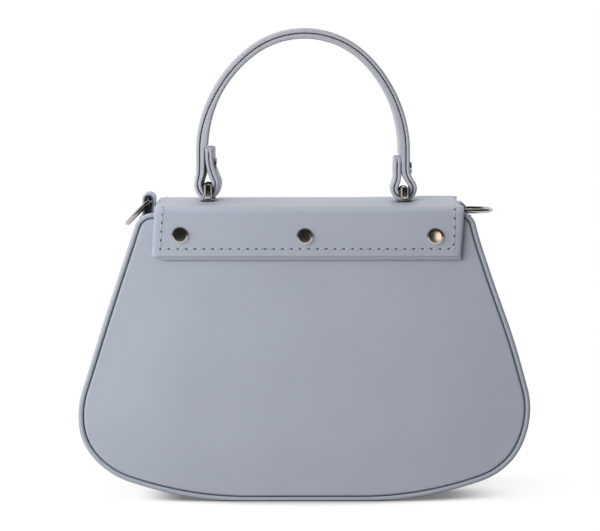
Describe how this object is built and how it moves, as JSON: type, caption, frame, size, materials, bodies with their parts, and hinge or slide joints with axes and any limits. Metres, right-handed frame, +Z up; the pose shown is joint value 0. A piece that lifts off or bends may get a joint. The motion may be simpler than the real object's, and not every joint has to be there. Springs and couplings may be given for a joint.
{
  "type": "top handle bag",
  "caption": "Stiff trapezoid handbag with rounded lower corners, a riveted fold-over flap, a short padded top handle on metal bridges and a D-ring at each side.",
  "frame": {"origin": "on the floor under the middle of the bag, at the bottom centre of its box", "axes": "+Z up; the riveted back faces -Y and the flap closes on the +Y side; +X to the right seen from the back"},
  "size_m": [0.24, 0.0818, 0.2506],
  "materials": {
    "bag_leather": "smooth satin, fine grain",
    "piping_leather": "smooth satin",
    "handle_leather": "smooth satin, padded",
    "stiff_board": "fibre board",
    "lining_cloth": "plain weave",
    "padding_foam": "soft foam",
    "dark_metal": "polished dark nickel",
    "magnet_steel": "plain steel"
  },
  "bodies": {
    "bag_body": {"back_panel": "bag_leather", "front_panel": "bag_leather", "gusset": "bag_leather", "back_piping": "piping_leather", "front_piping": "piping_leather", "back_board": "stiff_board", "front_board": "stiff_board", "base_board": "stiff_board", "lining": "lining_cloth", "flap_anchor": "bag_leather", "flap_anchor_lining": "bag_leather", "flap_rivets": "dark_metal", "rivet_backs": "dark_metal", "panel_magnet": "magnet_steel", "left_ring_tab": "bag_leather", "right_ring_tab": "bag_leather"},
    "flap": {"flap_leather": "bag_leather", "flap_board": "stiff_board", "flap_lining": "lining_cloth", "flap_magnet": "magnet_steel", "left_bridge": "dark_metal", "right_bridge": "dark_metal", "bridge_plates": "magnet_steel", "bridge_screws": "magnet_steel"},
    "handle": {"handle_top_leather": "handle_leather", "handle_under_leather": "handle_leather", "handle_padding": "padding_foam", "handle_rivets": "dark_metal"},
    "left_ring": {"left_ring": "dark_metal"},
    "right_ring": {"right_ring": "dark_metal"}
  },
  "joints": [
    {"name": "flap_hinge", "type": "hinge", "parent": "bag_body", "child": "flap", "pos_m": [0, -0.03152, 0.15558], "axis": [1, 0, 0], "range_deg": [0, 150]},
    {"name": "handle_tilt", "type": "hinge", "parent": "flap", "child": "handle", "pos_m": [0, 0.004, 0.16554], "axis": [1, 0, 0], "range_deg": [-4, 4]},
    {"name": "left_ring_swing", "type": "hinge", "parent": "bag_body", "child": "left_ring", "pos_m": [-0.084, 0, 0.15798], "axis": [0, 1, 0], "range_deg": [-9, 136]},
    {"name": "right_ring_swing", "type": "hinge", "parent": "bag_body", "child": "right_ring", "pos_m": [0.084, 0, 0.15278], "axis": [0, -1, 0], "range_deg": [-33, 90]}
  ]
}
